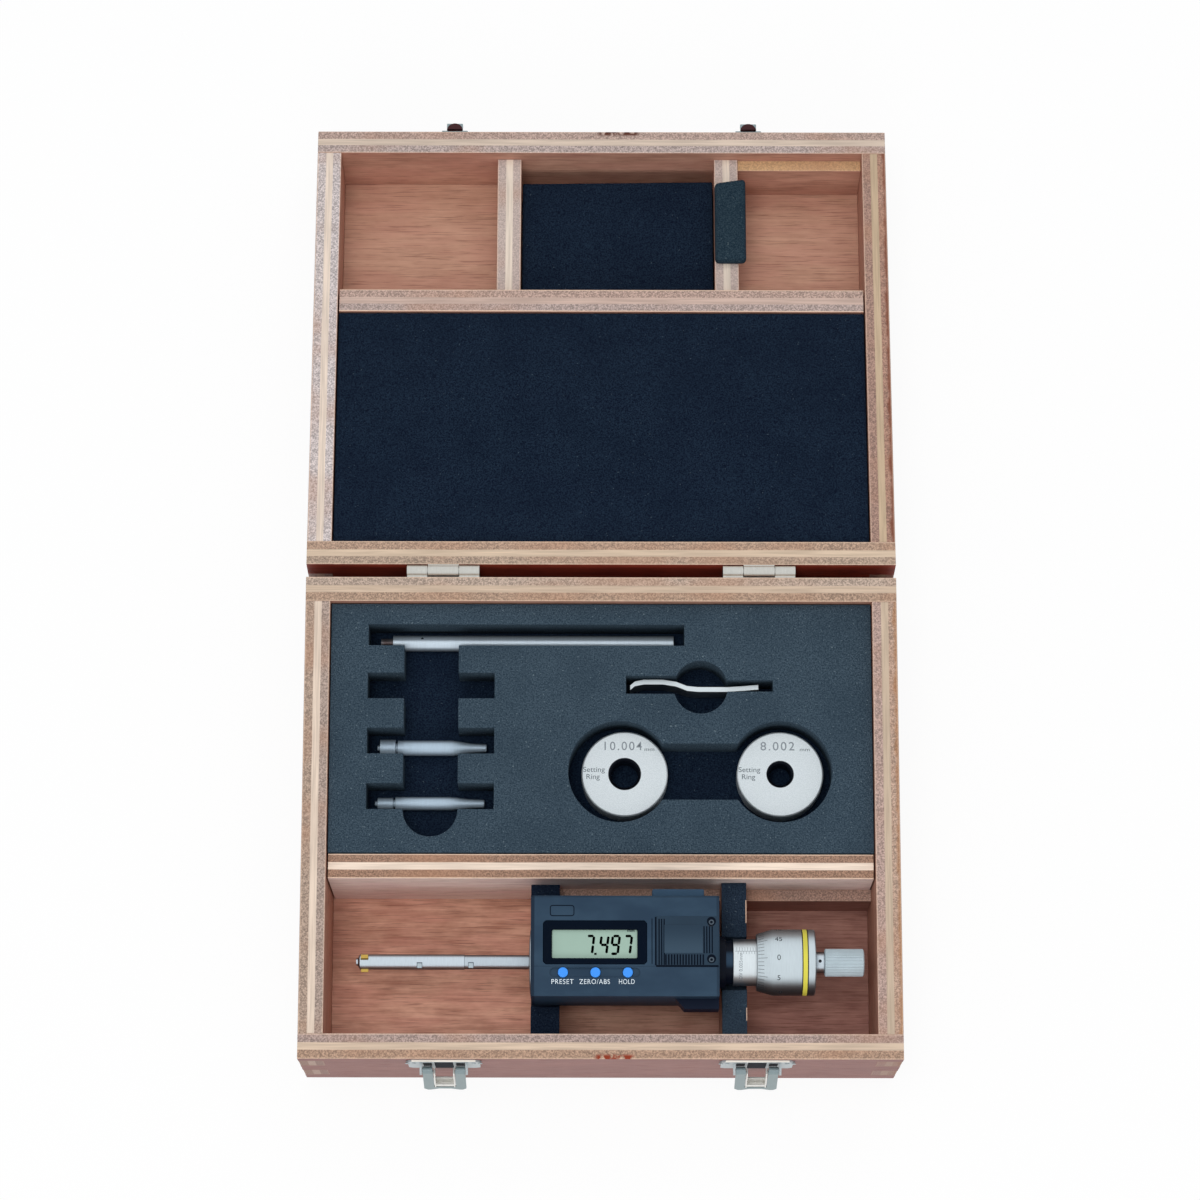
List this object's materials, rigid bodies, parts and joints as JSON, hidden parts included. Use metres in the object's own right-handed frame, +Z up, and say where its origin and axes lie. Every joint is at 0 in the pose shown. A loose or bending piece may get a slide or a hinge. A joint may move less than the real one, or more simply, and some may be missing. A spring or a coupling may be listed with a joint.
{
  "type": "micrometer case",
  "caption": "Hinged plywood case with draw latches, laid open, holding a digital bore micrometer with setting rings, spare heads, rod and key in foam.",
  "frame": {"origin": "centre of the underside of the base", "axes": "+X along the length of the case to the right, -Y towards the latches, +Y towards the hinges and the open lid, +Z up"},
  "size_m": [0.22, 0.3754, 0.0646],
  "materials": {
    "plywood": "varnished",
    "base_foam": "matt",
    "dark_foam": "matt",
    "lining": "matt",
    "hinge_steel": "satin",
    "latch_steel": "satin",
    "housing": "satin",
    "bezel": "gloss",
    "display": "satin",
    "button": "satin",
    "steel": "satin",
    "coated_contact": "satin",
    "light_grey": "satin"
  },
  "bodies": {
    "base": {"base_front_panel": "plywood", "base_back_panel": "plywood", "base_left_panel": "plywood", "base_right_panel": "plywood", "base_bottom_panel": "plywood", "base_divider": "plywood", "base_locating_strips": "plywood", "base_foam_insert": "base_foam", "base_foam_underlay": "dark_foam", "base_hinge_screws": "hinge_steel", "left_cradle": "plywood", "right_cradle": "plywood", "cradle_linings": "lining", "hinge_base_leaves": "hinge_steel", "hinge_pins": "hinge_steel", "latch_plates": "latch_steel", "latch_rivets": "latch_steel"},
    "lid": {"lid_front_panel": "plywood", "lid_back_panel": "plywood", "lid_left_panel": "plywood", "lid_right_panel": "plywood", "lid_top_panel": "plywood", "lid_rail": "plywood", "lid_dividers": "plywood", "lid_strips": "plywood", "lid_foam_pad": "dark_foam", "lid_small_foam_pad": "dark_foam", "lid_clamp_pad": "base_foam", "lid_hinge_screws": "hinge_steel", "lid_catches": "latch_steel", "hinge_lid_leaves": "hinge_steel"},
    "left_lever": {"left_latch_lever": "latch_steel"},
    "right_lever": {"right_latch_lever": "latch_steel"},
    "left_loop": {"left_latch_loop": "latch_steel"},
    "right_loop": {"right_latch_loop": "latch_steel"},
    "micrometer": {"readout_body": "housing", "readout_cover": "housing", "display_bezel": "bezel", "display_panel": "display", "battery_cover": "housing", "battery_cover_screws": "steel", "connector_cap": "bezel", "stem": "steel", "measuring_head": "steel", "sleeve": "steel"},
    "spindle": {"spindle": "steel"},
    "thimble": {"thimble": "steel"},
    "ratchet": {"ratchet": "light_grey"},
    "contact_1": {"contact_pin_1": "coated_contact"},
    "contact_2": {"contact_pin_2": "coated_contact"},
    "contact_3": {"contact_pin_3": "coated_contact"},
    "preset_button": {"preset_button": "button"},
    "zero_button": {"zero_button": "button"},
    "hold_button": {"hold_button": "button"},
    "setting_ring_large": {"setting_ring_large": "steel"},
    "setting_ring_small": {"setting_ring_small": "steel"},
    "spare_head_large": {"spare_head_large": "steel"},
    "spare_head_small": {"spare_head_small": "steel"},
    "extension_rod": {"extension_rod": "steel"},
    "thimble_key": {"thimble_key": "steel"}
  },
  "joints": [
    {"name": "lid_hinge", "type": "hinge", "parent": "base", "child": "lid", "pos_m": [0, 0.0925, 0.054], "axis": [-1, 0, 0], "range_deg": [-186.66, 0]},
    {"name": "left_latch_lever", "type": "hinge", "parent": "base", "child": "left_lever", "pos_m": [-0.057, -0.0934, 0.0475], "axis": [-1, 0, 0], "range_deg": [-12, 100]},
    {"name": "left_latch_loop", "type": "hinge", "parent": "left_lever", "child": "left_loop", "pos_m": [-0.057, -0.09363, 0.04448], "axis": [1, 0, 0], "range_deg": [-180, 0]},
    {"name": "right_latch_lever", "type": "hinge", "parent": "base", "child": "right_lever", "pos_m": [0.057, -0.0934, 0.0475], "axis": [-1, 0, 0], "range_deg": [-12, 100]},
    {"name": "right_latch_loop", "type": "hinge", "parent": "right_lever", "child": "right_loop", "pos_m": [0.057, -0.09363, 0.04448], "axis": [1, 0, 0], "range_deg": [-180, 0]},
    {"name": "micrometer_lift", "type": "slide", "parent": "base", "child": "micrometer", "axis": [0, 0, 1], "range_m": [0, 0.06]},
    {"name": "spindle_slide", "type": "slide", "parent": "micrometer", "child": "spindle", "axis": [-1, 0, 0], "range_m": [-0.0015, 0.0005]},
    {"name": "thimble_spin", "type": "hinge", "parent": "spindle", "child": "thimble", "pos_m": [0.067, -0.0532, 0.0445], "axis": [-1, 0, 0], "range_deg": [-1078, 361]},
    {"name": "ratchet_spin", "type": "hinge", "parent": "thimble", "child": "ratchet", "pos_m": [0.088, -0.0532, 0.0445], "axis": [-1, 0, 0], "continuous": true},
    {"name": "contact_1_slide", "type": "slide", "parent": "micrometer", "child": "contact_1", "axis": [0, 0.4226, 0.9063], "range_m": [-0.00075, 0.00026]},
    {"name": "contact_2_slide", "type": "slide", "parent": "micrometer", "child": "contact_2", "axis": [0, -0.9962, -0.0872], "range_m": [-0.00075, 0.00026]},
    {"name": "contact_3_slide", "type": "slide", "parent": "micrometer", "child": "contact_3", "axis": [0, 0.5736, -0.8192], "range_m": [-0.00075, 0.00026]},
    {"name": "preset_press", "type": "slide", "parent": "micrometer", "child": "preset_button", "axis": [0, 0, 1], "range_m": [-0.0005, 0], "stiffness_N_per_m": 400},
    {"name": "zero_press", "type": "slide", "parent": "micrometer", "child": "zero_button", "axis": [0, 0, 1], "range_m": [-0.0005, 0], "stiffness_N_per_m": 400},
    {"name": "hold_press", "type": "slide", "parent": "micrometer", "child": "hold_button", "axis": [0, 0, 1], "range_m": [-0.0005, 0], "stiffness_N_per_m": 400},
    {"name": "setting_ring_large_lift", "type": "slide", "parent": "base", "child": "setting_ring_large", "axis": [0, 0, 1], "range_m": [0, 0.04]},
    {"name": "setting_ring_small_lift", "type": "slide", "parent": "base", "child": "setting_ring_small", "axis": [0, 0, 1], "range_m": [0, 0.04]},
    {"name": "spare_head_large_lift", "type": "slide", "parent": "base", "child": "spare_head_large", "axis": [0, 0, 1], "range_m": [0, 0.03]},
    {"name": "spare_head_small_lift", "type": "slide", "parent": "base", "child": "spare_head_small", "axis": [0, 0, 1], "range_m": [0, 0.03]},
    {"name": "extension_rod_lift", "type": "slide", "parent": "base", "child": "extension_rod", "axis": [0, 0, 1], "range_m": [0, 0.03]},
    {"name": "thimble_key_lift", "type": "slide", "parent": "base", "child": "thimble_key", "axis": [0, 0, 1], "range_m": [0, 0.03]}
  ],
  "couplings": [
    {"joint": "thimble_spin", "follows": "spindle_slide", "rad_per_m": 12566},
    {"joint": "contact_1_slide", "follows": "spindle_slide", "ratio": 0.5},
    {"joint": "contact_2_slide", "follows": "spindle_slide", "ratio": 0.5},
    {"joint": "contact_3_slide", "follows": "spindle_slide", "ratio": 0.5}
  ]
}
